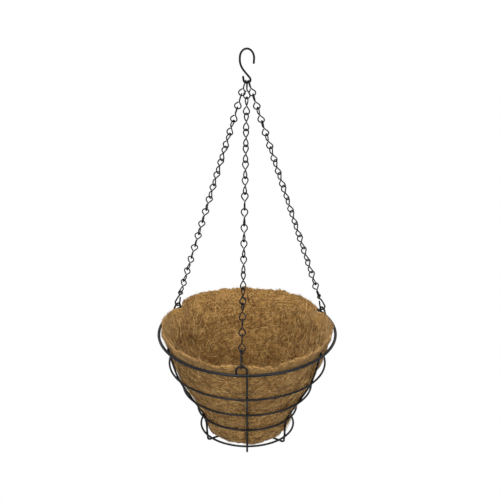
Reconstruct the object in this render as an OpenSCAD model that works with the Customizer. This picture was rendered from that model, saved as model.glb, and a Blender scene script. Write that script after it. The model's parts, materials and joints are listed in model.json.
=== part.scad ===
// Wire hanging basket with a loose coir liner, hung on three jack chains from one S-hook.
// The origin is the spot inside the hook's upper bend that rests on its support.
// +Z is up, and the front chain hangs towards -Y.

/* [Frame] */
// Diameter of the rim ring, between centres of wire
rim_d = 300; // [296:1:304]
// Thickness of the rim ring's wire
rim_wire = 5; // [4.4:0.1:5.2]
// Thickness of the wire of the hoops, base ring and ribs
frame_wire = 3.5; // [3.2:0.1:3.6]
// Diameter of the upper hoop
upper_hoop_d = 266; // [262:1:268]
// Diameter of the middle hoop
middle_hoop_d = 220; // [216:1:224]
// Diameter of the lower hoop
lower_hoop_d = 170; // [166:1:174]
// Diameter of the base ring
base_d = 160; // [157:1:163]
// Height from the rim ring down to the underside of the feet
basket_h = 192; // [190:0.5:196]

/* [Anchors] */
// Height of each arch above the rim ring, to the centre of its wire
arch_h = 15; // [14:1:17]
// Width of each arch, between centres of wire
arch_w = 17.5; // [16.5:0.5:19]
// Height of the wire clip at the end of each chain, between centres of wire
clip_h = 31; // [29:1:33]
// Thickness of the clips' wire
clip_wire = 2.7; // [2.5:0.1:2.8]

/* [Chains] */
// Height of the hook's lower bend above the rim ring
gather_h = 450; // [445:1:460]
// Number of links in each chain
link_count = 17; // [16:1:18]
// Thickness of the links' wire
chain_wire = 2.2; // [2.0:0.1:2.2]
// Width across each loop of a link, between centres of wire
loop_w = 10.5; // [10:0.1:11]
// Free play where one wire hangs in another
play = 0.3; // [0.25:0.05:0.4]

/* [Hook] */
// Height of the hook overall
hook_h = 61; // [59:1:63]
// Width of the hook overall
hook_w = 26; // [25:1:28]
// Thickness of the hook's wire
hook_wire = 3.4; // [3.1:0.1:3.4]

/* [Liner] */
// Thickness of the coir
liner_t = 9; // [7:1:10]
// Height of the liner's edge above the rim ring
crest_h = 14; // [12:1:15]

/* [Hidden] */
SIDES = ["front", "left", "right"];
$fn = 96;

// Azimuth of each side's anchor, and the turn round the hook's lower bend where its chain sits
anchor_az = [-90, 150, 30];
seat_turn = [0, -34, 34];

// Hook: radius of the lower bend, half the height of the oval upper bend, and the slope at which
// the shank crosses over, all to the centre of the wire
seat_r = 5.6;
seat_z = hook_wire * 1.5 - hook_h;
eye_z = seat_z + seat_r;
hook_top_r = (hook_w - hook_wire) / 2;
hook_crown = 15.5;
hook_lean = 37;

// Frame: heights below the rim ring, and how far crossing wires sink in where they are welded
rim_z = seat_z - gather_h;
upper_drop = 55;
middle_drop = 98;
lower_drop = 141;
base_drop = 176;
weld_bite = 0.3;
foot_z = frame_wire / 2 - basket_h;
foot_bend_r = 4;
stub_h = 5;
stack_step = frame_wire - weld_bite;

// Arches: the rib stands inside the rim ring, and its arch bends over to the anchor's other side
arch_r = rim_d / 2 - (rim_wire + frame_wire) / 2 + weld_bite;
arch_turn = asin(arch_w / 2 / arch_r);
anchor_r = arch_r * cos(arch_turn);
anchor_z = rim_z + arch_h;

// Chains: where the first wire hangs above the hook's wire, and the pitch that fills the strand
seat_lift = (hook_wire + chain_wire) / 2 + play;
clip_low = (clip_wire + frame_wire) / 2 + play;
clip_high = (clip_wire + chain_wire) / 2 + play;
nest = chain_wire + play;

// Links: how near the neck the wire's cut ends come, and where the crossing wire leaves it
cut_gap = 2.8;
neck_lead = 1.6;

// Liner: it stands on the crossed ribs, and hangs clear of the ribs at the rim and of each hoop
liner_gap = 0.5;
rim_slack = 5;
upper_slack = 9;
middle_slack = 7;
lower_slack = 4;
floor_r = 69;
corner_r = 9;
dent_r = 8.8;

// ---- Vectors and paths ----

function unit(v) = v / norm(v);

// Vector v made square to the direction t
function square_to(v, t) = unit(v - (v * t) * t);

// Vector v turned by angle a about the unit axis t that it is square to
function turned(v, t, a) = v * cos(a) + cross(t, v) * sin(a);

function polar(r, az, z) = [r * cos(az), r * sin(az), z];

function reversed(p) = [for (i = [len(p) - 1:-1:0]) p[i]];

// Points on an arc from angle a to angle b in n steps
function arc(c, r, a, b, n) =
    [for (i = [0:n]) let (t = a + (b - a) * i / n) c + r * [cos(t), sin(t)]];

// Points on an oval of half width r and half height h
function oval(c, r, h, a, b, n) =
    [for (i = [0:n]) let (t = a + (b - a) * i / n) c + [r * cos(t), h * sin(t)]];

// Points on a cubic curve from p to s, without its two ends
function cubic(p, q, r, s, n) = [for (i = [1:n - 1]) let (t = i / n, u = 1 - t)
    u * u * u * p + 3 * u * u * t * q + 3 * u * t * t * r + t * t * t * s];

// Point at t between b and c on a smooth curve through a, b, c and d
function glide(a, b, c, d, t) =
    b + t / 2 * (c - a + t * (2 * a - 5 * b + 4 * c - d + t * (3 * b - 3 * c + d - a)));

// Smooth curve through the points p, n steps to a span, from the second point to the last but one
function smooth(p, n) = [for (k = [1:len(p) - 3], i = [0:n - 1])
    glide(p[k - 1], p[k], p[k + 1], p[k + 2], i / n)];

// Direction of a path at its point i
function heading(p, i) = unit(p[min(i + 1, len(p) - 1)] - p[max(i - 1, 0)]);

// A side direction for each point of a path, carried along so that the wire doesn't twist
function sides_along(p, first) =
    [for (i = 0, s = square_to(first, heading(p, 0)); i < len(p);
        i = i + 1, s = i < len(p) ? square_to(s, heading(p, i)) : s) s];

// Round wire of thickness d that follows a path and is cut square at both ends
module wire(path, d, first, n = 8) {
    last = len(path) - 1;
    side = sides_along(path, first);
    rings = [for (i = [0:last], k = [0:n - 1])
        path[i] + d / 2 * turned(side[i], heading(path, i), 360 * k / n)];
    skin = [for (i = [0:last - 1], k = [0:n - 1])
        let (a = i * n + k, b = i * n + (k + 1) % n)
        each [[a, a + n, b + n], [a, b + n, b]]];
    start_cap = [for (k = [0:n - 1]) k];
    end_cap = [for (k = [n - 1:-1:0]) last * n + k];
    polyhedron(points = rings, faces = concat(skin, [start_cap, end_cap]), convexity = 6);
}

// ---- Hook ----

// Tip, round the upper bend, down the shank, round the lower bend, and the short free end
function hook_path() =
    let (c = [0, hook_wire / 2 - hook_crown],
        top = oval(c, hook_top_r, hook_crown, 0, 180, 20),
        bend = arc([0, eye_z], seat_r, hook_lean, -180, 14),
        tip = top[0] - [0.6, 9.5],
        lean = [sin(hook_lean), -cos(hook_lean)],
        shank = cubic(top[20], top[20] - [1, 16], bend[0] - 14 * lean, bend[0], 12),
        end = bend[14] + [-0.8, 6])
    [for (p = concat([tip], top, shank, bend, [end])) [p[0], 0, p[1]]];

module hook() {
    color([0.13, 0.13, 0.14]) wire(hook_path(), hook_wire, [0, 1, 0]);
}

// ---- Chains ----

// Where chain k sits on the hook's lower bend, and where its clip holds the arch
function seat(k) = [seat_r * sin(seat_turn[k]), 0, eye_z - seat_r * cos(seat_turn[k])];
function anchor(k) = polar(anchor_r, anchor_az[k], anchor_z);
function run(k) = unit(anchor(k) - seat(k));
function strand(k) = norm(anchor(k) - seat(k));

// Links hang square to the wire that they hang on, at the hook and at the arch
function seat_normal(k) = square_to([cos(seat_turn[k]), 0, sin(seat_turn[k])], run(k));
function clip_normal(k) = square_to([-sin(anchor_az[k]), cos(anchor_az[k]), 0], run(k));

// The chain turns about its own line by this much from the first link to the clip
function half_turn(k) =
    let (a = atan2(cross(seat_normal(k), clip_normal(k)) * run(k), seat_normal(k) * clip_normal(k)),
        b = a < 0 ? a + 180 : a)
    b < 60 ? b + 180 : b;

function pitch(k) =
    (strand(k) + seat_lift - nest + clip_high - clip_h + clip_low) / link_count;

// One loop of a link from its neck: out along one side, round the bow, and back to a cut end
function loop_half(height) =
    let (r = loop_w / 2, c = height / 2 - r, a = asin(r / c),
        bow = arc([0, c], r, -a, 180 + a, 10))
    concat(bow, [cut_gap * unit(bow[10])]);

// Figure-of-eight link: two loops at right angles, made from one wire through the neck
function link_path(top, down, normal, height) =
    let (half = loop_half(height), across = cross(normal, down), neck = top + height / 2 * down,
        up = [for (p = half) neck + p[0] * across - p[1] * down],
        low = [for (p = half) neck + p[0] * normal + p[1] * down],
        before = neck + neck_lead * unit(up[0] - neck),
        after = neck + neck_lead * unit(low[0] - neck))
    concat(reversed(up), [before, (before + 2 * neck + after) / 4, after], low);

// Link i of chain k, counted from the hook
module chain_link(k, i) {
    step = pitch(k);
    top = seat(k) + (i * step - seat_lift) * run(k);
    normal = turned(seat_normal(k), run(k), half_turn(k) * i / (link_count - 1));
    path = link_path(top, run(k), normal, step + nest);
    color([0.24, 0.25, 0.26]) wire(path, chain_wire, normal, 5);
}

module top_link(k) {
    chain_link(k, 0);
}

module chain(k) {
    for (i = [1:link_count - 2]) chain_link(k, i);
}

module bottom_link(k) {
    chain_link(k, link_count - 1);
}

// ---- Clips ----

// Small eye at the top, the wire crossing itself at the neck, and a long open loop below.
// Points are [across, down, out], and the wire steps out of its plane to pass itself.
function clip_shape() =
    let (eye_r = 3, foot_r = 4.6, foot_c = clip_h - foot_r, step = 1.45,
        eye = arc([0, eye_r], eye_r, 150, 390, 10),
        foot = arc([0, foot_c], foot_r, 172, 8, 8))
    concat(
        [[0.9, 8.2, step]],
        [for (i = [0:10]) [eye[i][0], eye[i][1], step * (1 - i / 5)]],
        [[0, 7.6, -step], [-1.7, 11, -step], [-3.2, 18, -step / 2]],
        [for (p = foot) [p[0], p[1], 0]],
        [[3.2, 18, 0], [1.9, 11.6, 0]]);

module clip(k) {
    top = anchor(k) + (clip_low - clip_h) * run(k);
    across = cross(clip_normal(k), run(k));
    path = [for (p = clip_shape()) top + p[0] * across + p[1] * run(k) + p[2] * clip_normal(k)];
    color([0.1, 0.1, 0.11]) wire(path, clip_wire, clip_normal(k), 6);
}

// ---- Frame ----

module ring(d, drop, thick) {
    color([0.12, 0.13, 0.14]) translate([0, 0, rim_z - drop])
        rotate_extrude() translate([d / 2, 0]) circle(d = thick, $fn = 32);
}

module rim_ring() {
    ring(rim_d, 0, rim_wire);
}

module upper_hoop() {
    ring(upper_hoop_d, upper_drop, frame_wire);
}

module middle_hoop() {
    ring(middle_hoop_d, middle_drop, frame_wire);
}

module lower_hoop() {
    ring(lower_hoop_d, lower_drop, frame_wire);
}

module base_ring() {
    ring(base_d, base_drop, frame_wire);
}

// One side of a rib from its top down: inside the rim ring, the three hoops and the base ring, and
// round the foot. Points are [radius, height from the rim ring].
function rib_side(top) =
    let (base_r = base_d / 2 - stack_step,
        line = smooth([[arch_r, top + 20], [arch_r, top], [arch_r, 0],
            [upper_hoop_d / 2 - stack_step, -upper_drop],
            [middle_hoop_d / 2 - stack_step, -middle_drop],
            [lower_hoop_d / 2 - stack_step, -lower_drop], [base_r, -base_drop],
            [base_r - 1, foot_z]], 5),
        corner = arc([base_r - 1 - foot_bend_r, foot_z + foot_bend_r], foot_bend_r, 0, -90, 5))
    concat(line, [[base_r, -base_drop]], [for (i = [1:5]) corner[i]]);

// Rib k is one wire: its arch, down one side, across under the liner, and up the far side.
// Where the three ribs cross, rib k lies on the ones before it.
function rib_path(k) =
    let (az = anchor_az[k], r = arch_w / 2, spring = arch_h - r,
        arch = concat([[-r, -4]], arc([0, spring], r, 180, 0, 10)),
        near = rib_side(spring), far = rib_side(stub_h))
    concat(
        [for (p = arch) polar(anchor_r, az, rim_z + p[1]) + p[0] * [-sin(az), cos(az), 0]],
        [for (i = [1:len(near) - 1]) polar(near[i][0], az + arch_turn, rim_z + near[i][1])],
        [[0, 0, rim_z + foot_z + k * stack_step]],
        [for (p = reversed(far)) polar(p[0], az + 180, rim_z + p[1])]);

module rib(k) {
    az = anchor_az[k];
    color([0.12, 0.13, 0.14]) wire(rib_path(k), frame_wire, [-sin(az), cos(az), 0]);
}

// ---- Liner ----

// Outside of the liner from the middle of its floor to the rim, as [radius, height]
function liner_line(inset, floor) =
    let (in = frame_wire / 2 + inset)
    concat(
        [[0, floor]],
        arc([floor_r - inset - corner_r, floor + corner_r], corner_r, -90, -30, 5),
        [[lower_hoop_d / 2 - in - lower_slack, -lower_drop],
        [middle_hoop_d / 2 - in - middle_slack, -middle_drop],
        [upper_hoop_d / 2 - in - upper_slack, -upper_drop],
        [arch_r - in - rim_slack, 0]]);

module liner() {
    floor = foot_z + 2 * stack_step + frame_wire / 2 + liner_gap;
    edge_r = arch_r - frame_wire / 2 - liner_gap - 0.3;
    half = liner_t / 2;
    outer = liner_line(0, floor);
    inner = liner_line(liner_t * 1.1, floor + liner_t);
    crest = arc([edge_r - half, crest_h - half], half, 0, 180, 8);
    color([0.62, 0.45, 0.24]) difference() {
        translate([0, 0, rim_z]) rotate_extrude() polygon(concat(outer, crest, reversed(inner)));
        for (k = [0:2]) {
            d = run(k);
            translate(anchor(k)) rotate([0, acos(d[2]), atan2(d[1], d[0])])
                cylinder(r = dent_r, h = 60, center = true, $fn = 48);
        }
    }
}

hook();
top_link(0);  // front_top_link
top_link(1);  // left_top_link
top_link(2);  // right_top_link
chain(0);  // front_chain
chain(1);  // left_chain
chain(2);  // right_chain
bottom_link(0);  // front_bottom_link
bottom_link(1);  // left_bottom_link
bottom_link(2);  // right_bottom_link
clip(0);  // front_clip
clip(1);  // left_clip
clip(2);  // right_clip
rim_ring();
upper_hoop();
middle_hoop();
lower_hoop();
base_ring();
rib(0);  // front_rib
rib(1);  // left_rib
rib(2);  // right_rib
liner();
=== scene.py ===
import json
import math
import random

import bpy
import numpy as np
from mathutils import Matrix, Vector, noise

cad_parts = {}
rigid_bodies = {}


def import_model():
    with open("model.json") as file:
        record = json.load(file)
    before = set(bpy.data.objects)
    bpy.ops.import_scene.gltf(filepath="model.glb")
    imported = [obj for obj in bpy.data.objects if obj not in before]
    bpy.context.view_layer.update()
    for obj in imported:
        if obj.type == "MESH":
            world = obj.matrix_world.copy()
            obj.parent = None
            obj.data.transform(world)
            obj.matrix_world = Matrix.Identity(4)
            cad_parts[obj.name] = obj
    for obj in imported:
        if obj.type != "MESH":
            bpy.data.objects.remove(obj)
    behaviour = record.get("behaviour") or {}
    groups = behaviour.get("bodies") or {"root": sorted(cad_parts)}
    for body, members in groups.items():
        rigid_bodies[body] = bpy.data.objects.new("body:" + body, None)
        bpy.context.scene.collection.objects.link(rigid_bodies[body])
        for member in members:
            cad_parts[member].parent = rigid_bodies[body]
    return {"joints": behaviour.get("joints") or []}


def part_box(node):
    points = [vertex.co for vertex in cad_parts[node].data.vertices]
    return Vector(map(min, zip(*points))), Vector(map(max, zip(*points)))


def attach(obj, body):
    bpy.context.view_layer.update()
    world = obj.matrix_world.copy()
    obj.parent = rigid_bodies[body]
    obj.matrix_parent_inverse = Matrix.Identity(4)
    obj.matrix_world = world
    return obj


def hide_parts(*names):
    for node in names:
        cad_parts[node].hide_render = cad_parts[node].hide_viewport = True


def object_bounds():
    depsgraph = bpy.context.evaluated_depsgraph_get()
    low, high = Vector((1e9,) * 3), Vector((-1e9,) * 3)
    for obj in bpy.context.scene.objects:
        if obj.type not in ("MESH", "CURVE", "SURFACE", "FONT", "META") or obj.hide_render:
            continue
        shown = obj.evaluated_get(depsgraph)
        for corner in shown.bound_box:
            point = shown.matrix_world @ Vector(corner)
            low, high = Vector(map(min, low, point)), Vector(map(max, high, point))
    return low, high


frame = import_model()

cad_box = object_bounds()

# ---- Rim ring and hoops ----
# Five rings of round steel wire, each rolled, cut and butt-welded end to end: a 5 mm rim ring,
# three hoops and a base ring of 3.5 mm. With the ribs they are one welded frame, powder coated black.

MM = 0.001


class Socket:
    """One output of a node. Sums on it add Math nodes to its tree, and node() adds any other node."""

    def __init__(self, tree, out=None):
        self.tree = tree
        self.out = out

    def node(self, kind, settings=None, sockets=None, out=0):
        made = self.tree.nodes.new(kind)
        for key, value in (settings or {}).items():
            if key == "stops":
                ramp = made.color_ramp.elements
                while len(ramp) < len(value):
                    ramp.new(0.5)
                for stop, (place, colour) in zip(ramp, value):
                    stop.position = place
                    stop.color = (*colour, 1)
            else:
                setattr(made, key, value)
        for key, value in (sockets or {}).items():
            if isinstance(value, Socket):
                self.tree.links.new(value.out, made.inputs[key])
            else:
                made.inputs[key].default_value = value
        return Socket(self.tree, made.outputs[out] if made.outputs else None)

    def of(self, name):
        return Socket(self.tree, self.out.node.outputs[name])

    def maths(self, operation, *values):
        return self.node("ShaderNodeMath", {"operation": operation}, dict(enumerate(values)))

    def __add__(self, other):
        return self.maths("ADD", self, other)

    def __radd__(self, other):
        return self.maths("ADD", other, self)

    def __sub__(self, other):
        return self.maths("SUBTRACT", self, other)

    def __rsub__(self, other):
        return self.maths("SUBTRACT", other, self)

    def __mul__(self, other):
        return self.maths("MULTIPLY", self, other)

    def __rmul__(self, other):
        return self.maths("MULTIPLY", other, self)

    def held(self):
        return self.node("ShaderNodeClamp", {}, {"Value": self})


def new_tree(name, inputs):
    """A geometry tree with its group input ready, and a function that closes it."""
    tree = bpy.data.node_groups.new(name, "GeometryNodeTree")
    for label, kind in [("Geometry", "Geometry")] + inputs:
        tree.interface.new_socket(label, in_out="INPUT", socket_type="NodeSocket" + kind)
    tree.interface.new_socket("Geometry", in_out="OUTPUT", socket_type="NodeSocketGeometry")
    given = Socket(tree).node("NodeGroupInput")

    def close(shape, finish):
        real = given.node("GeometryNodeRealizeInstances", {}, {"Geometry": shape})
        smooth = given.node("GeometryNodeSetShadeSmooth", {}, {"Geometry": real})
        coated = given.node(
            "GeometryNodeSetMaterial", {}, {"Geometry": smooth, "Material": finish}
        )
        given.node("NodeGroupOutput", {}, {"Geometry": coated})
        return tree

    return given, close


def grown(ob, tree, values):
    """Gives ob the plain mesh that a tree makes from it."""
    bpy.context.scene.collection.objects.link(ob)
    maker = ob.modifiers.new(tree.name, "NODES")
    maker.node_group = tree
    for item in tree.interface.items_tree:
        if item.in_out == "INPUT" and item.name in values:
            maker[item.identifier] = values[item.name]
    shown = ob.evaluated_get(bpy.context.evaluated_depsgraph_get())
    mesh = bpy.data.meshes.new_from_object(shown)
    mesh.name = ob.name
    ob.modifiers.clear()
    ob.data = mesh
    return ob


def wire_tree():
    """Sweeps a round section along every path; the paths' own thickness rounds off cut ends."""
    given, close = new_tree(
        "drawn wire", [("Wire", "Float"), ("Sides", "Int"), ("Coating", "Material")]
    )
    line = given.node("GeometryNodeMeshToCurve", {}, {"Mesh": given.of("Geometry")})
    section = given.node(
        "GeometryNodeCurvePrimitiveCircle",
        {"mode": "RADIUS"},
        {"Resolution": given.of("Sides"), "Radius": given.of("Wire") * 0.5},
    )
    thickness = given.node(
        "GeometryNodeInputNamedAttribute", {"data_type": "FLOAT"}, {"Name": "thickness"}
    )
    tube = given.node(
        "GeometryNodeCurveToMesh",
        {},
        {"Curve": line, "Profile Curve": section, "Scale": thickness, "Fill Caps": True},
    )
    return close(tube, given.of("Coating"))


drawn_wire = wire_tree()


def rounded_ends(path, wire):
    """Adds three points at each end of a path, and gives each point its share of the thickness."""
    dense, shares = list(path), [1.0] * len(path)
    for turn in range(2):
        end, beside = dense[0], dense[1]
        inward = (beside - end).normalized() * wire
        dense[0:1] = [end, end + inward * 0.05, end + inward * 0.14, end + inward * 0.3]
        shares[0:1] = [0.5, 0.8, 0.95, 1.0]
        dense.reverse()
        shares.reverse()
    return dense, shares


def wire_piece(name, path, wire, coating, sides=12, closed=False):
    """A piece of wire bent along a path in millimetres."""
    path = [Vector(p) for p in path]
    shares = [1.0] * len(path)
    if not closed:
        path, shares = rounded_ends(path, wire)
    edges = [(i, i + 1) for i in range(len(path) - 1)]
    if closed:
        edges.append((len(path) - 1, 0))
    mesh = bpy.data.meshes.new(name)
    mesh.from_pydata([p * MM for p in path], edges, [])
    mesh.attributes.new("thickness", "FLOAT", "POINT").data.foreach_set("value", shares)
    ob = bpy.data.objects.new(name, mesh)
    return grown(ob, drawn_wire, {"Wire": wire * MM, "Sides": sides, "Coating": coating})


def new_finish(name, **constants):
    """A material with one Principled shader; paint() links what varies over the surface."""
    finish = bpy.data.materials.new(name)
    finish.use_nodes = True
    tree = finish.node_tree
    shader = tree.nodes["Principled BSDF"]
    for key, value in constants.items():
        shader.inputs[key.replace("_", " ")].default_value = value
    start = Socket(tree).node("ShaderNodeTexCoord", out="Object")

    def paint(bump=None, depth=0.0, **varying):
        for key, value in varying.items():
            tree.links.new(value.out, shader.inputs[key.replace("_", " ")])
        if bump is not None:
            relief = start.node(
                "ShaderNodeBump", {}, {"Strength": 1.0, "Distance": depth, "Height": bump}
            )
            tree.links.new(relief.out, shader.inputs["Normal"])
        return finish

    return start, paint


def grain(place, per_metre, detail=2.0, roughness=0.5, seed=0.0):
    """Cloudy noise from 0 to 1, with this many cells to a metre."""
    shifted = place.node(
        "ShaderNodeMapping", {}, {"Vector": place, "Location": (seed, seed * 0.7, -seed)}
    )
    return place.node(
        "ShaderNodeTexNoise",
        {},
        {"Vector": shifted, "Scale": per_metre, "Detail": detail, "Roughness": roughness},
    )


def ramp(value, *stops):
    return value.node("ShaderNodeValToRGB", {"stops": stops}, {"Fac": value})


def coated_wire(name, dark, lit, dust, shine):
    """Powder coat on wire: fine orange peel, uneven gloss, dust where it lies, a few bare nicks."""
    place, paint = new_finish(name, Specular_IOR_Level=shine)
    patches = grain(place, 55, 3)
    peel = grain(place, 1500, 2, seed=3)
    nicks = ramp(grain(place, 420, 1, seed=5), (0.74, (0, 0, 0)), (0.78, (1, 1, 1)))
    facing = place.node("ShaderNodeNewGeometry", out="Normal")
    up = place.node("ShaderNodeSeparateXYZ", {}, {"Vector": facing}, out="Z")
    settled = (up.held() * patches * dust).held()
    body = ramp(patches, (0.35, dark), (0.7, lit))
    dusty = place.node(
        "ShaderNodeMix",
        {"data_type": "RGBA"},
        {"Factor": settled, "A": body, "B": (0.05, 0.048, 0.045, 1)},
        out="Result",
    )
    mixed = dusty.node(
        "ShaderNodeMix",
        {"data_type": "RGBA"},
        {"Factor": nicks * 0.4, "A": dusty, "B": (0.09, 0.09, 0.095, 1)},
        out="Result",
    )
    roughness = 0.2 + 0.14 * patches + 0.2 * settled
    return paint(bump=peel, depth=0.00004, Base_Color=mixed, Roughness=roughness)


frame_coat = coated_wire("frame powder coat", (0.004, 0.005, 0.007), (0.011, 0.013, 0.017), 0.2, 0.32)


def ring_sizes(node):
    """Diameter between wire centres, height and thickness of a ring, in millimetres."""
    low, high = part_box(node)
    wire = (high.z - low.z) / MM
    return (high.x - low.x) / MM - wire, (low.z + high.z) / 2 / MM, wire


def polar(radius, azimuth, height):
    angle = math.radians(azimuth)
    return Vector((radius * math.cos(angle), radius * math.sin(angle), height))


rim_d, rim_z, rim_wire = ring_sizes("rim_ring")
upper_d, upper_z, frame_wire = ring_sizes("upper_hoop")
middle_d, middle_z, frame_wire = ring_sizes("middle_hoop")
lower_d, lower_z, frame_wire = ring_sizes("lower_hoop")
base_d, base_z, frame_wire = ring_sizes("base_ring")
rings = {
    "rim_ring": (rim_d, rim_z, rim_wire),
    "upper_hoop": (upper_d, upper_z, frame_wire),
    "middle_hoop": (middle_d, middle_z, frame_wire),
    "lower_hoop": (lower_d, lower_z, frame_wire),
    "base_ring": (base_d, base_z, frame_wire),
}
ring_points = 180
for node, (across, height, wire) in rings.items():
    line = [polar(across / 2, 360 * i / ring_points, height) for i in range(ring_points)]
    ring = wire_piece(node + "_wire", line, wire, frame_coat, sides=14, closed=True)
    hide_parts(node)
    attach(ring, "frame")

# ---- Ribs ----
# Three 3.5 mm wires, each bent to an arch above the rim ring, down inside it and the hoops,
# round a foot, across under the liner and up the far side. Every crossing is resistance welded.

weld_bite = 0.3
stack_step = frame_wire - weld_bite
arch_h = 15.0
arch_w = 17.5
arch_tail = 4.0
stub_h = 5.0
lead_in = 20.0
foot_tuck = 1.0
foot_bend_r = 4.0
anchor_az = {"front": -90.0, "left": 150.0, "right": 30.0}
foot_z = min(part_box(side + "_rib")[0].z for side in anchor_az) / MM + frame_wire / 2
arch_r = rim_d / 2 - (rim_wire + frame_wire) / 2 + weld_bite
arch_turn = math.degrees(math.asin(arch_w / 2 / arch_r))
anchor_r = arch_r * math.cos(math.radians(arch_turn))


def arc(centre, radius, start, end, steps):
    """Points on an arc in a plane, as pairs."""
    turns = [math.radians(start + (end - start) * i / steps) for i in range(steps + 1)]
    return [Vector((centre[0] + radius * math.cos(t), centre[1] + radius * math.sin(t))) for t in turns]


def smooth_line(points, steps):
    """Smooth curve through points, from the second to the last but one."""
    line = []
    for a, b, c, d in zip(points, points[1:], points[2:], points[3:]):
        for i in range(steps):
            t = i / steps
            line.append(
                b + t / 2 * (c - a + t * (2 * a - 5 * b + 4 * c - d + t * (3 * b - 3 * c + d - a)))
            )
    return line + [points[-2]]


def rib_side(top):
    """One side of a rib from its top down to its foot, as (radius, height above the rim ring).

    The first stop only leads the curve in, and the last draws the wire in towards the foot.
    """
    base_r = base_d / 2 - stack_step
    foot = foot_z - rim_z
    stops = [
        (arch_r, top + lead_in),
        (arch_r, top),
        (arch_r, 0),
        (upper_d / 2 - stack_step, upper_z - rim_z),
        (middle_d / 2 - stack_step, middle_z - rim_z),
        (lower_d / 2 - stack_step, lower_z - rim_z),
        (base_r, base_z - rim_z),
        (base_r - foot_tuck, foot),
    ]
    line = smooth_line([Vector(s) for s in stops], 10)
    corner_at = (base_r - foot_tuck - foot_bend_r, foot + foot_bend_r)
    corner = arc(corner_at, foot_bend_r, 0, -90, 10)
    return line + corner[1:]


for order, (side, azimuth) in enumerate(anchor_az.items()):
    across = polar(1, azimuth + 90, 0)
    bend = arch_w / 2
    spring = arch_h - bend
    arch = [Vector((-bend, -arch_tail))] + arc((0, spring), bend, 180, 0, 20)
    path = [polar(anchor_r, azimuth, rim_z + y) + x * across for x, y in arch]
    path += [polar(r, azimuth + arch_turn, rim_z + z) for r, z in rib_side(spring)[1:]]
    path += [Vector((0, 0, foot_z + order * stack_step))]
    path += [polar(r, azimuth + 180, rim_z + z) for r, z in reversed(rib_side(stub_h))]
    rib = wire_piece(side + "_rib_wire", path, frame_wire, frame_coat)
    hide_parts(side + "_rib")
    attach(rib, "frame")

# ---- Welds ----
# Resistance welds where wires cross: the squeezed steel leaves a low, flattened bead on both
# sides of the joint, under the same powder coat as the frame.


def weld_tree():
    """Sets a flattened bead on every point, its short way along the point's own facing."""
    given, close = new_tree("weld beads", [("Bead", "Vector"), ("Coating", "Material")])
    facing = given.node(
        "GeometryNodeInputNamedAttribute", {"data_type": "FLOAT_VECTOR"}, {"Name": "facing"}
    )
    turned = given.node(
        "FunctionNodeAxesToRotation",
        {"primary_axis": "Z", "secondary_axis": "X"},
        {"Primary Axis": facing, "Secondary Axis": (0, 0, 1)},
    )
    ball = given.node("GeometryNodeMeshIcoSphere", {}, {"Radius": 1.0, "Subdivisions": 3})
    beads = given.node(
        "GeometryNodeInstanceOnPoints",
        {},
        {
            "Points": given.of("Geometry"),
            "Instance": ball,
            "Rotation": turned,
            "Scale": given.of("Bead"),
        },
    )
    return close(beads, given.of("Coating"))


# The two welds under the liner lean this much, so that they are not in line with the direction
# that the beads take for up.
nearly_upright = 0.02
crossings = []
for azimuth in anchor_az.values():
    for turn in (azimuth + arch_turn, azimuth + 180):
        for across, height, wire in rings.values():
            crossings.append((polar(across / 2 - wire / 2, turn, height), polar(1, turn, 0)))
for order in range(2):
    height = foot_z + (order + 0.5) * stack_step
    crossings.append((Vector((0, 0, height)), Vector((nearly_upright, 0, 1))))
mesh = bpy.data.meshes.new("weld_beads")
mesh.from_pydata([place * MM for place, facing in crossings], [], [])
mesh.attributes.new("facing", "FLOAT_VECTOR", "POINT").data.foreach_set(
    "vector", [x for place, facing in crossings for x in facing]
)
bead_r, bead_rise = frame_wire * 0.62, frame_wire * 0.42
bead_size = (bead_r * MM, bead_r * MM, bead_rise * MM)
welds = grown(
    bpy.data.objects.new("weld_beads", mesh),
    weld_tree(),
    {"Bead": bead_size, "Coating": frame_coat},
)
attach(welds, "frame")

# ---- Liner ----
# A loose pot of matted coconut fibre, felted wet over a former and dried: thick, springy and
# uneven, pressed into the frame so that it swells between the wires and stands above the rim.

liner_t = 9.0
crest_h = 14.0
liner_gap = 0.5
edge_slack = 0.3
rim_slack = 5.0
floor_r = 69.0
corner_r = 9.0
liner_floor = foot_z + 2 * stack_step + frame_wire / 2 + liner_gap - rim_z
edge_r = arch_r - frame_wire / 2 - liner_gap - edge_slack
hoop_slack = [(lower_d, lower_z, 4.0), (middle_d, middle_z, 7.0), (upper_d, upper_z, 9.0)]
columns = 288
row_step, crest_step = 2.4, 1.3
wall_across = liner_t * 1.1
lip_from = -26.0
lip_thinned = 5.0
wall_from_r = 72.0
swell_until, no_swell_from = -14.0, -4.0
belly, belly_lost_at_rib = 1.2, 0.6
push_limit, push_extra = 2.0, 1.5
inside_rougher = 1.25
flat_r = 12.0
mm_per_degree = 2.5
hoop_press, rib_press, clip_press = 11.0, 9.0, 11.0
clip_dip, clip_dent = 4.0, 9.0
tear_az, tear_width, tear_depth = -68.0, 2.2, 6.0
edge_rows_out, edge_rows_in = 3, 2
floor_edge_h = 4.0
UNDERSIDE, OUTSIDE, EDGE, INSIDE, FLOOR = range(5)


def wall_line(inset, floor):
    """One face of the liner from the middle of its floor to the rim, as (radius, height)."""
    step = frame_wire / 2 + inset
    line = [Vector((0, floor))]
    line += arc((floor_r - inset - corner_r, floor + corner_r), corner_r, -90, -30, 10)
    for across, height, slack in hoop_slack:
        line.append(Vector((across / 2 - step - slack, height - rim_z)))
    return line + [Vector((arch_r - step - rim_slack, 0))]


def spaced(line, step):
    """The same line with points an even step apart."""
    lengths = [0.0]
    for a, b in zip(line, line[1:]):
        lengths.append(lengths[-1] + (b - a).length)
    count = max(2, round(lengths[-1] / step))
    places = np.linspace(0, lengths[-1], count + 1)
    return np.stack(
        [np.interp(places, lengths, [p[i] for p in line]) for i in range(2)], axis=1
    )


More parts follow.
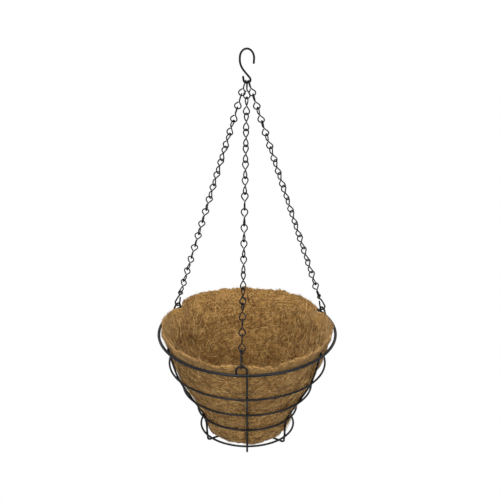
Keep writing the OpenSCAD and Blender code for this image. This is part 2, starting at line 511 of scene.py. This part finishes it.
half = liner_t / 2
outside = spaced(wall_line(0, liner_floor), row_step)
inside = spaced(wall_line(wall_across, liner_floor + liner_t), row_step)[::-1]
crest = spaced(arc((edge_r - half, crest_h - half), half, 0, 180, 24), crest_step)
profile = np.concatenate([outside, crest, inside])
for easing in range(2):
    profile[1:-1] = (profile[:-2] + 2 * profile[1:-1] + profile[2:]) / 4
rows = len(profile)
crest_from = len(outside)
crest_to = crest_from + len(crest)
along = np.gradient(profile, axis=0)
along /= np.linalg.norm(along, axis=1, keepdims=True)
facing = np.stack([along[:, 1], -along[:, 0]], axis=1)
radius, height = profile[:, 0], profile[:, 1]


def rise(value, low, high):
    """Smooth step from 0 at low to 1 at high."""
    t = np.clip((value - low) / (high - low), 0, 1)
    return t * t * (3 - 2 * t)


def away(azimuth, centre):
    """Degrees between two azimuths."""
    return (azimuth - centre + 180) % 360 - 180


azimuths = np.arange(columns) * 360 / columns
rib_az = [a + arch_turn for a in anchor_az.values()] + [a + 180 for a in anchor_az.values()]
at_rib = sum(np.exp(-((away(azimuths, a) * mm_per_degree / rib_press) ** 2)) for a in rib_az)
at_clip = sum(
    np.exp(-((away(azimuths, a) * mm_per_degree / clip_press) ** 2)) for a in anchor_az.values()
)


def edge_noise(cells, seed):
    """Noise round the edge, with this many cells to a radian."""
    turns = np.radians(azimuths)
    return np.array([
        noise.noise((cells * math.cos(t), cells * math.sin(t), seed)) for t in turns
    ])


# The edge rises and spreads in millimetres, from broad waves down to frayed tips, and it is
# pressed in at the ribs and clips.
edge_up = 4.0 * edge_noise(2.2, 4.3) + 2.6 * edge_noise(7, 9.1) + 2.2 * edge_noise(21, 2.7)
edge_up += 2.0 * edge_noise(60, 6.1) - clip_dip * at_clip
edge_up -= tear_depth * np.exp(-((away(azimuths, tear_az) / tear_width) ** 2))
edge_out = 1.6 * (1 - np.clip(at_rib, 0, 1)) + 1.4 * edge_noise(9, 1.9) - clip_dent * at_clip
near_top = rise(height, lip_from, crest_h)
out_wall = np.zeros(rows)
out_wall[:crest_from] = 1
swell = np.ones(rows)
for level in (lower_z, middle_z, upper_z):
    swell *= 1 - np.exp(-(((height - (level - rim_z)) / hoop_press) ** 2))
swell *= out_wall * (radius > wall_from_r) * (1 - rise(height, swell_until, no_swell_from))
thinner = lip_thinned * np.clip(
    (np.arange(rows) - crest_from + edge_rows_in) / (crest_to - crest_from), 0, 1
)

points = []
for i in range(rows):
    for j in range(columns):
        turn = math.radians(azimuths[j])
        r = radius[i] + near_top[i] * (edge_out[j] + thinner[i])
        z = height[i] + near_top[i] * edge_up[j]
        spot = Vector((r * math.cos(turn), r * math.sin(turn), z))
        lump = 2.0 * noise.noise(spot / 24) + 0.8 * noise.noise(spot / 8 + Vector((7, 1, 3)))
        lump += 0.8 * noise.noise(spot / 3.2)
        if i >= crest_to:
            lump *= inside_rougher
        push = lump * min(1.0, radius[i] / flat_r)
        push += swell[i] * (belly - belly_lost_at_rib * at_rib[j])
        if i < crest_from:
            push = min(push, push_limit + push_extra * swell[i])
        r += push * facing[i, 0]
        z += push * facing[i, 1]
        points.append((r * math.cos(turn) * MM, r * math.sin(turn) * MM, (rim_z + z) * MM))

faces, parts = [], []
for i in range(1, rows - 2):
    part = UNDERSIDE if radius[i] < floor_r else OUTSIDE
    if i >= crest_from - edge_rows_out:
        part = EDGE
    if i >= crest_to + edge_rows_in:
        part = INSIDE
    if i > crest_to + edge_rows_in and height[i] < liner_floor + liner_t + floor_edge_h:
        part = FLOOR
    for j in range(columns):
        k = (j + 1) % columns
        faces.append((i * columns + j, i * columns + k, (i + 1) * columns + k, (i + 1) * columns + j))
        parts.append(part)
low_pole = len(points)
points.append((0, 0, (rim_z + liner_floor) * MM))
high_pole = len(points)
points.append((0, 0, (rim_z + liner_floor + liner_t) * MM))
for j in range(columns):
    k = (j + 1) % columns
    faces.append((low_pole, columns + k, columns + j))
    faces.append((high_pole, (rows - 2) * columns + j, (rows - 2) * columns + k))
    parts += [UNDERSIDE, FLOOR]
used = sorted({v for face in faces for v in face})
renamed = {old: new for new, old in enumerate(used)}
mesh = bpy.data.meshes.new("coir_liner")
mesh.from_pydata(
    [points[v] for v in used], [], [[renamed[v] for v in face] for face in faces]
)
mesh.attributes.new("part", "FLOAT", "FACE").data.foreach_set("value", parts)
mesh.polygons.foreach_set("use_smooth", [True] * len(mesh.polygons))
liner = bpy.data.objects.new("coir_liner", mesh)
bpy.context.scene.collection.objects.link(liner)


def coir_felt():
    """Matted fibre: six lays of stretched streaks crossing each other, over mottled gaps that the bump
    sinks and that are darkened with painted shade.
    """
    place, paint = new_finish("matted coir", Specular_IOR_Level=0.25, Sheen_Weight=0.12)
    bent = place.node(
        "ShaderNodeVectorMath",
        {"operation": "MULTIPLY_ADD"},
        {0: grain(place, 60, 1).of("Color"), 1: (0.012, 0.012, 0.012), 2: place},
    )
    lays = [(0.2, 0.1, 0.3), (1.3, 0.4, 1.1), (0.6, 1.2, 2.2)]
    lays += [(2.1, 0.8, 0.5), (0.9, 2.4, 1.7), (1.6, 1.9, 2.9)]
    threads = None
    for turn, lay in enumerate(lays):
        drawn = bent.node(
            "ShaderNodeMapping",
            {},
            {"Vector": bent, "Rotation": lay, "Scale": (40, 900 - 60 * turn, 820)},
        )
        streak = drawn.node(
            "ShaderNodeTexNoise", {}, {"Vector": drawn, "Scale": 1.0, "Detail": 1.0}
        )
        thread = ramp(streak, (0.5, (0, 0, 0)), (0.66, (1, 1, 1)))
        if threads is None:
            threads = thread
        else:
            threads = threads.maths("MAXIMUM", threads, thread * (1 - 0.08 * turn))
    clumps = grain(place, 110, 4, 0.6, seed=2)
    patches = grain(place, 28, 2, seed=4)
    # Painted shade: the gaps between the fibres are set lower by the bump and also darkened in the
    # colour, as if shade fell in them.
    gap_shade = ramp(grain(place, 330, 2, seed=6), (0.3, (0, 0, 0)), (0.5, (1, 1, 1)))
    tone = (0.62 * threads + 0.6 * clumps * gap_shade + 0.4 * patches - 0.22).held()
    colour = ramp(
        tone,
        (0.10, (0.055, 0.024, 0.006)),
        (0.36, (0.24, 0.115, 0.028)),
        (0.60, (0.44, 0.235, 0.064)),
        (0.92, (0.66, 0.41, 0.15)),
    )
    relief = threads * 0.6 + gap_shade * 0.3 + clumps * 0.5
    return paint(bump=relief, depth=0.0009, Base_Color=colour, Roughness=0.95 - 0.15 * threads)


liner.data.materials.append(coir_felt())

# ---- Loose strands on the liner ----
# Single coconut fibres, up to 1 mm thick and from a few millimetres to 5 centimetres long, that
# lie on the felt and stick out of it. Dark and pale ones are mixed, and the edge is the hairiest.

picks = random.Random(11)
strand_kinds = 14
first_seed = 20


def strand_mesh(number):
    """A closed three-sided tube along a random bend, which lies along X with +Z off the felt."""
    length = picks.uniform(15, 34)
    thick = picks.uniform(0.20, 0.36)
    sway, wave = picks.uniform(-6, 6), picks.uniform(-2.8, 2.8)
    hump, droop = picks.uniform(0.3, 1.3), picks.uniform(0.2, 0.9)
    steps = 5
    line = []
    for i in range(steps + 1):
        t = i / steps * 2 - 1
        side = sway * (1 - t * t) + wave * math.sin(3.2 * t + number)
        line.append(Vector((length / 2 * t, side, hump * (1 - t * t) - droop * t * t)))
    vertices = []
    for i, spot in enumerate(line):
        ahead = (line[min(i + 1, steps)] - line[max(i - 1, 0)]).normalized()
        beside = ahead.cross(Vector((0, 0, 1))).normalized()
        above = beside.cross(ahead)
        size = thick * (0.5 if i in (0, steps) else 1.0)
        for k in range(3):
            turn = math.radians(90 + 120 * k)
            vertices.append((spot + size * (beside * math.cos(turn) + above * math.sin(turn))) * MM)
    skin = []
    for i in range(steps):
        for k in range(3):
            m = (k + 1) % 3
            skin.append((3 * i + k, 3 * i + 3 + k, 3 * i + 3 + m, 3 * i + m))
    skin += [(0, 1, 2), (3 * steps + 2, 3 * steps + 1, 3 * steps)]
    mesh = bpy.data.meshes.new(f"strand_{number}")
    mesh.from_pydata(vertices, [], skin)
    return mesh


strands = bpy.data.collections.new("strands")
for number in range(strand_kinds):
    strands.objects.link(bpy.data.objects.new(f"strand_{number:02d}", strand_mesh(number)))


def strand_tree():
    """Scatters strands over one part of the felt, turned at random, some lifted off it.

    Density is in strands to a square metre, Lift in radians, and Longest the greatest scale.
    """
    nearly_full_turn = 6.283
    given, close = new_tree(
        "scattered strands",
        [
            ("Part", "Float"),
            ("Density", "Float"),
            ("Lift", "Float"),
            ("Longest", "Float"),
            ("Seed", "Int"),
            ("Strands", "Collection"),
            ("Fibre", "Material"),
        ],
    )
    part = given.node("GeometryNodeInputNamedAttribute", {"data_type": "FLOAT"}, {"Name": "part"})
    chosen = part.maths("COMPARE", part, given.of("Part"), 0.1)
    spots = given.node(
        "GeometryNodeDistributePointsOnFaces",
        {},
        {
            "Mesh": given.of("Geometry"),
            "Selection": chosen,
            "Density": given.of("Density"),
            "Seed": given.of("Seed"),
        },
    )

    def chance(low, high, offset):
        seed = given.of("Seed") + offset
        return given.node(
            "FunctionNodeRandomValue", {"data_type": "FLOAT"}, {2: low, 3: high, "Seed": seed}, out=1
        )

    def turned(rotation, axis, angle):
        by = given.node("FunctionNodeAxisAngleToRotation", {}, {"Axis": axis, "Angle": angle})
        return given.node(
            "FunctionNodeRotateRotation",
            {"rotation_space": "LOCAL"},
            {"Rotation": rotation, "Rotate By": by},
        )

    lay = turned(spots.of("Rotation"), (0, 0, 1), chance(0.0, nearly_full_turn, 1))
    lay = turned(lay, (0, 1, 0), chance(-1.0, 1.0, 2) * given.of("Lift"))
    size = chance(0.45, 1.0, 3) * given.of("Longest")
    placed = given.node(
        "GeometryNodeInstanceOnPoints",
        {},
        {
            "Points": spots,
            "Instance": given.node(
                "GeometryNodeCollectionInfo",
                {},
                {"Collection": given.of("Strands"), "Separate Children": True, "Reset Children": True},
            ),
            "Pick Instance": True,
            "Rotation": lay,
            "Scale": size,
        },
    )
    toned = given.node(
        "GeometryNodeStoreNamedAttribute",
        {"data_type": "FLOAT", "domain": "INSTANCE"},
        {"Geometry": placed, "Name": "tone", "Value": chance(0.0, 1.0, 4)},
    )
    return close(toned, given.of("Fibre"))


def strand_finish():
    """Single fibres: each has its own tone from tobacco brown to straw, a little streaky."""
    place, paint = new_finish("coir fibre", Specular_IOR_Level=0.35)
    own = place.node("ShaderNodeAttribute", {"attribute_name": "tone"}, out="Fac")
    streaks = grain(place, 700, 2, seed=1)
    tone = (own * 0.8 + streaks * 0.4 - 0.1).held()
    colour = ramp(
        tone,
        (0.10, (0.050, 0.022, 0.006)),
        (0.38, (0.26, 0.130, 0.034)),
        (0.66, (0.55, 0.310, 0.090)),
        (0.88, (0.92, 0.640, 0.270)),
    )
    return paint(bump=streaks, depth=0.00005, Base_Color=colour, Roughness=0.55 + 0.3 * streaks)


scattered_strands = strand_tree()
fibre = strand_finish()
layers = {
    "strands_underside": (UNDERSIDE, 90000, 0.02, 0.6),
    "strands_outside": (OUTSIDE, 36000, 0.06, 1.1),
    "strands_outside_fine": (OUTSIDE, 36000, 0.05, 0.6),
    "strands_outside_long": (OUTSIDE, 11000, 0.02, 1.4),
    "strands_edge": (EDGE, 110000, 0.28, 0.5),
    "strands_inside": (INSIDE, 36000, 0.1, 1.3),
    "strands_inside_fine": (INSIDE, 36000, 0.1, 0.7),
    "strands_inside_long": (INSIDE, 10000, 0.06, 1.6),
    "strands_floor": (FLOOR, 90000, 0.12, 1.0),
}
for number, (name, (part, density, lift, longest)) in enumerate(layers.items()):
    values = {
        "Part": float(part),
        "Density": float(density),
        "Lift": lift,
        "Longest": longest,
        "Seed": first_seed + number,
        "Strands": strands,
        "Fibre": fibre,
    }
    layer = grown(bpy.data.objects.new(name, liner.data.copy()), scattered_strands, values)
    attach(layer, "liner")
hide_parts("liner")
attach(liner, "liner")
for strand in list(strands.objects):
    bpy.data.objects.remove(strand)

# ---- S-hook ----
# One length of 3.4 mm steel wire bent cold: a wide open upper bend that goes over a bracket, a
# shank, and a small lower bend that is closed enough to hold the three top links. Coated black.

hook_low, hook_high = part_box("hook")
hook_wire = (hook_high.y - hook_low.y) / MM
hook_h = (hook_high.z - hook_low.z) / MM
hook_w = (hook_high.x - hook_low.x) / MM
seat_r = 5.6
seat_z = hook_wire * 1.5 - hook_h
eye_z = seat_z + seat_r
hook_top_r = (hook_w - hook_wire) / 2
hook_crown = 15.5
hook_lean = 37.0
tip_out, tip_drop = 0.6, 9.5
shank_out, shank_top_pull, shank_low_pull = 1.0, 16.0, 14.0
free_end_in, free_end_h = 0.8, 6.0
hook_coat = coated_wire("hook coat", (0.004, 0.004, 0.0045), (0.011, 0.011, 0.012), 0.2, 0.22)


def cubic(p, q, r, s, steps):
    """Points on a cubic curve from p to s, without its two ends."""
    ts = [i / steps for i in range(1, steps)]
    return [
        (1 - t) ** 3 * p + 3 * (1 - t) ** 2 * t * q + 3 * (1 - t) * t * t * r + t ** 3 * s for t in ts
    ]


top_bend = [Vector((x * hook_top_r, z * hook_crown)) for x, z in arc((0, 0), 1, 0, 180, 36)]
top_bend = [p + Vector((0, hook_wire / 2 - hook_crown)) for p in top_bend]
low_bend = arc((0, eye_z), seat_r, hook_lean, -180, 28)
tip = top_bend[0] - Vector((tip_out, tip_drop))
lean = math.radians(hook_lean)
slope = Vector((math.sin(lean), -math.cos(lean)))
shank_top = top_bend[-1] - Vector((shank_out, shank_top_pull))
shank_low = low_bend[0] - shank_low_pull * slope
shank = cubic(top_bend[-1], shank_top, shank_low, low_bend[0], 24)
free_end = low_bend[-1] + Vector((-free_end_in, free_end_h))
line = [tip] + top_bend + shank + low_bend + [free_end]
hook = wire_piece("s_hook", [(x, 0, z) for x, z in line], hook_wire, hook_coat, sides=16)
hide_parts("hook")
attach(hook, "hook")

# ---- Chains ----
# Single jack chain of 2.2 mm wire: each link is one wire bent to a figure of eight, its two loops at
# right angles, with both ends closed against the neck. Plated dull and darkened. 17 links a side.

link_count = 17
chain_wire = 2.2
loop_w = 10.5
play = 0.3
cut_gap = 1.7
neck_lead = 1.6
least_turn = 60.0
askew = 0.22
clip_h = 31.0
clip_wire = 2.7
seat_turn = {"front": 0.0, "left": -34.0, "right": 34.0}
seat_lift = (hook_wire + chain_wire) / 2 + play
clip_low = (clip_wire + frame_wire) / 2 + play
clip_high = (clip_wire + chain_wire) / 2 + play
nest = chain_wire + play
joints = {joint["name"]: joint for joint in frame["joints"]}


def square_to(v, t):
    return (v - v.dot(t) * t).normalized()


class ChainLine:
    """The line of one chain, from the hook's lower bend to the arch that its clip holds."""

    def __init__(self, side):
        turn = math.radians(seat_turn[side])
        self.seat = Vector((seat_r * math.sin(turn), 0, eye_z - seat_r * math.cos(turn)))
        self.anchor = Vector(joints[side + "_clip_twist"]["pos_m"]) / MM
        self.run = (self.anchor - self.seat).normalized()
        self.hook_face = square_to(Vector((math.cos(turn), 0, math.sin(turn))), self.run)
        self.clip_face = square_to(polar(1, anchor_az[side] + 90, 0), self.run)
        lean = math.atan2(
            self.hook_face.cross(self.clip_face).dot(self.run), self.hook_face.dot(self.clip_face)
        )
        lean = math.degrees(lean) % 180
        self.half_turn = math.radians(lean + 180 if lean < least_turn else lean)
        length = (self.anchor - self.seat).length
        self.pitch = (length + seat_lift - nest + clip_high - clip_h + clip_low) / link_count


chain_of = {side: ChainLine(side) for side in anchor_az}


def link_line(tall):
    """The wire of one link, hanging along +Z from its top, the upper loop facing along X."""
    r = loop_w / 2
    middle = tall / 2 - r
    lean = math.degrees(math.asin(r / middle))
    half = arc((0, middle), r, -lean, 180 + lean, 20)
    shoulder = half[-1].normalized()
    half += [cut_gap * shoulder]
    neck = Vector((0, 0, tall / 2))
    up = [neck + Vector((0, -a, -b)) for a, b in half]
    low = [neck + Vector((a, 0, b)) for a, b in half]
    before = neck + neck_lead * (up[0] - neck).normalized()
    after = neck + neck_lead * (low[0] - neck).normalized()
    return up[::-1] + [before, (before + 2 * neck + after) / 4, after] + low


def gunmetal():
    """Dull plated wire: bright where it was drawn, darker where the plating has tarnished."""
    place, paint = new_finish("chain plating", Specular_IOR_Level=0.5)
    stain = grain(place, 240, 4, 0.6)
    fine = grain(place, 2600, 2, seed=2)
    tarnish = ramp(stain, (0.38, (0, 0, 0)), (0.62, (1, 1, 1)))
    colour = ramp(
        (0.3 + 0.5 * tarnish + 0.25 * fine).held(),
        (0.25, (0.085, 0.087, 0.093)),
        (0.6, (0.024, 0.025, 0.028)),
        (1.0, (0.007, 0.007, 0.008)),
    )
    return paint(
        bump=fine + stain * 0.6,
        depth=0.00005,
        Base_Color=colour,
        Metallic=1.0 - 0.35 * tarnish,
        Roughness=0.3 + 0.16 * tarnish + 0.1 * fine,
    )


chain_finish = gunmetal()


def chain_tree():
    """Hangs copies of one link down a chain, each turned a little more than the one above.

    Looseness is the angle by which a link may sit askew to either side in its neighbours.
    """
    given, close = new_tree(
        "hung links",
        [
            ("Link", "Object"),
            ("Links", "Int"),
            ("First", "Float"),
            ("Top", "Vector"),
            ("Step", "Vector"),
            ("Run", "Vector"),
            ("Face", "Vector"),
            ("Turn", "Float"),
            ("Looseness", "Float"),
            ("Seed", "Int"),
            ("Plating", "Material"),
        ],
    )
    row = given.node(
        "GeometryNodeMeshLine",
        {"mode": "OFFSET"},
        {"Count": given.of("Links"), "Start Location": given.of("Top"), "Offset": given.of("Step")},
    )
    straight = given.node(
        "FunctionNodeAxesToRotation",
        {"primary_axis": "Z", "secondary_axis": "X"},
        {"Primary Axis": given.of("Run"), "Secondary Axis": given.of("Face")},
    )
    number = given.node("GeometryNodeInputIndex") + given.of("First")
    astray = given.node(
        "FunctionNodeRandomValue",
        {"data_type": "FLOAT"},
        {2: -1.0, 3: 1.0, "ID": number, "Seed": given.of("Seed")},
        out=1,
    )
    turn = given.node(
        "FunctionNodeAxisAngleToRotation",
        {},
        {"Axis": (0, 0, 1), "Angle": number * given.of("Turn") + astray * given.of("Looseness")},
    )
    hung = given.node(
        "FunctionNodeRotateRotation",
        {"rotation_space": "LOCAL"},
        {"Rotation": straight, "Rotate By": turn},
    )
    link = given.node("GeometryNodeObjectInfo", {}, {"Object": given.of("Link")}, out="Geometry")
    links = given.node(
        "GeometryNodeInstanceOnPoints", {}, {"Points": row, "Instance": link, "Rotation": hung}
    )
    return close(links, given.of("Plating"))


hung_links = chain_tree()


def link_run(name, side, first, count):
    """Links first to first + count - 1 of one chain, as one piece."""
    chain = chain_of[side]
    link = wire_piece("link", link_line(chain.pitch + nest), chain_wire, chain_finish, sides=8)
    top = chain.seat + (first * chain.pitch - seat_lift) * chain.run
    run = grown(
        bpy.data.objects.new(name, bpy.data.meshes.new(name)),
        hung_links,
        {
            "Link": link,
            "Links": count,
            "First": float(first),
            "Top": top * MM,
            "Step": chain.run * chain.pitch * MM,
            "Run": chain.run,
            "Face": chain.hook_face,
            "Turn": chain.half_turn / (link_count - 1),
            "Looseness": askew if first > 0 else 0.0,
            "Seed": list(anchor_az).index(side),
            "Plating": chain_finish,
        },
    )
    bpy.data.objects.remove(link)
    return run


for side in anchor_az:
    top_link = link_run(side + "_first_link", side, 0, 1)
    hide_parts(side + "_top_link")
    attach(top_link, "top_links")
    links = link_run(side + "_links", side, 1, link_count - 1)
    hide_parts(side + "_chain", side + "_bottom_link")
    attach(links, side + "_chain")

# ---- Chain clips ----
# A 2.7 mm wire bent to a small eye that holds the last link, crossed over itself at the neck,
# and left as a long open hook that snaps over the rib's arch. Coated black.

clip_coat = coated_wire("clip coat", (0.004, 0.004, 0.005), (0.010, 0.0105, 0.012), 0.2, 0.3)


def clip_line():
    """The clip's wire as (across, down, out); it steps out of its plane to pass itself."""
    eye_r, foot_r, step = 3.0, 4.6, 1.45
    eye = arc((0, eye_r), eye_r, 150, 390, 20)
    foot = arc((0, clip_h - foot_r), foot_r, 172, 8, 16)
    line = [Vector((0.9, 8.2, step))]
    line += [Vector((a, b, step * (1 - i / 10))) for i, (a, b) in enumerate(eye)]
    line += [Vector((0, 7.6, -step)), Vector((-1.7, 11, -step)), Vector((-3.2, 18, -step / 2))]
    line += [Vector((a, b, 0)) for a, b in foot]
    return line + [Vector((3.2, 18, 0)), Vector((1.9, 11.6, 0))]


for side, chain in chain_of.items():
    top = chain.anchor + (clip_low - clip_h) * chain.run
    across = chain.clip_face.cross(chain.run)
    path = [top + a * across + b * chain.run + c * chain.clip_face for a, b, c in clip_line()]
    clip = wire_piece(side + "_clip_wire", path, clip_wire, clip_coat)
    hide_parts(side + "_clip")
    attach(clip, side + "_clip")

# ---- Floor, light and camera ----
# The basket hangs over a plain floor that the camera sees as white, in soft light from all round.
# Two large soft lamps light it from the front, left and right, and a smaller one from above.

floor_z, floor_half = -2.0, 40.0
floor_mesh = bpy.data.meshes.new("floor")
corners = [(x * floor_half, y * floor_half, floor_z) for x, y in [(-1, -1), (1, -1), (1, 1), (-1, 1)]]
floor_mesh.from_pydata(corners, [], [(0, 1, 2, 3)])
floor = bpy.data.objects.new("floor", floor_mesh)
bpy.context.scene.collection.objects.link(floor)
pale = bpy.data.materials.new("pale floor")
pale.use_nodes = True
pale.node_tree.nodes.clear()
base = Socket(pale.node_tree)
lit = base.node("ShaderNodeBsdfDiffuse", {}, {"Color": (0.5, 0.5, 0.5, 1)})
glow = base.node("ShaderNodeEmission", {}, {"Color": (1, 1, 1, 1), "Strength": 1.0})
seen = base.node("ShaderNodeLightPath", out="Is Camera Ray")
both = base.node("ShaderNodeMixShader", {}, {0: seen, 1: lit, 2: glow})
base.node("ShaderNodeOutputMaterial", {}, {"Surface": both})
floor_mesh.materials.append(pale)

world = bpy.data.worlds.new("studio")
bpy.context.scene.world = world
world.use_nodes = True
world.node_tree.nodes.clear()
base = Socket(world.node_tree)
way = base.node("ShaderNodeTexCoord", out="Generated")
upward = base.node("ShaderNodeSeparateXYZ", {}, {"Vector": way}, out="Z")
glow = base.node(
    "ShaderNodeMapRange",
    {"interpolation_type": "SMOOTHSTEP"},
    {"Value": upward, "From Min": -0.3, "From Max": 0.9, "To Min": 0.26, "To Max": 0.82},
)
seen = base.node("ShaderNodeLightPath", out="Is Camera Ray")
strength = glow * (1 - seen) + seen
sky = base.node("ShaderNodeBackground", {}, {"Color": (1, 1, 1, 1), "Strength": strength})
base.node("ShaderNodeOutputWorld", {}, {"Surface": sky})

middle = (cad_box[0] + cad_box[1]) / 2


def soft_lamp(name, place, size, watts):
    lamp = bpy.data.lights.new(name, "AREA")
    lamp.shape = "SQUARE"
    lamp.size = size
    lamp.energy = watts
    ob = bpy.data.objects.new(name, lamp)
    ob.location = place
    ob.rotation_mode = "QUATERNION"
    ob.rotation_quaternion = (middle - Vector(place)).to_track_quat("-Z", "Y")
    bpy.context.scene.collection.objects.link(ob)


soft_lamp("key lamp", (-0.9, -2.3, 0.6), 1.1, 18)
soft_lamp("fill lamp", (1.6, -1.9, 0.3), 1.0, 15)
soft_lamp("top lamp", (-0.4, -1.1, 1.8), 0.8, 12)

view_azimuth, view_height = 3.5, 25.2
view_distance = 3.02
view_aside, view_above_rim = 4.8, 155.6
a, e = math.radians(view_azimuth), math.radians(view_height)
back = Vector((math.sin(a) * math.cos(e), -math.cos(a) * math.cos(e), math.sin(e)))
right = Vector((math.cos(a), math.sin(a), 0))
aim = right * view_aside * MM + Vector((0, 0, (rim_z + view_above_rim) * MM))
camera = bpy.data.objects.new("camera", bpy.data.cameras.new("camera"))
camera.data.sensor_width = 36
camera.data.lens = 130.7
camera.location = aim + back * view_distance
camera.rotation_mode = "QUATERNION"
camera.rotation_quaternion = (-back).to_track_quat("-Z", "Y")
bpy.context.scene.collection.objects.link(camera)
bpy.context.scene.camera = camera
bpy.context.scene.view_settings.view_transform = "Standard"
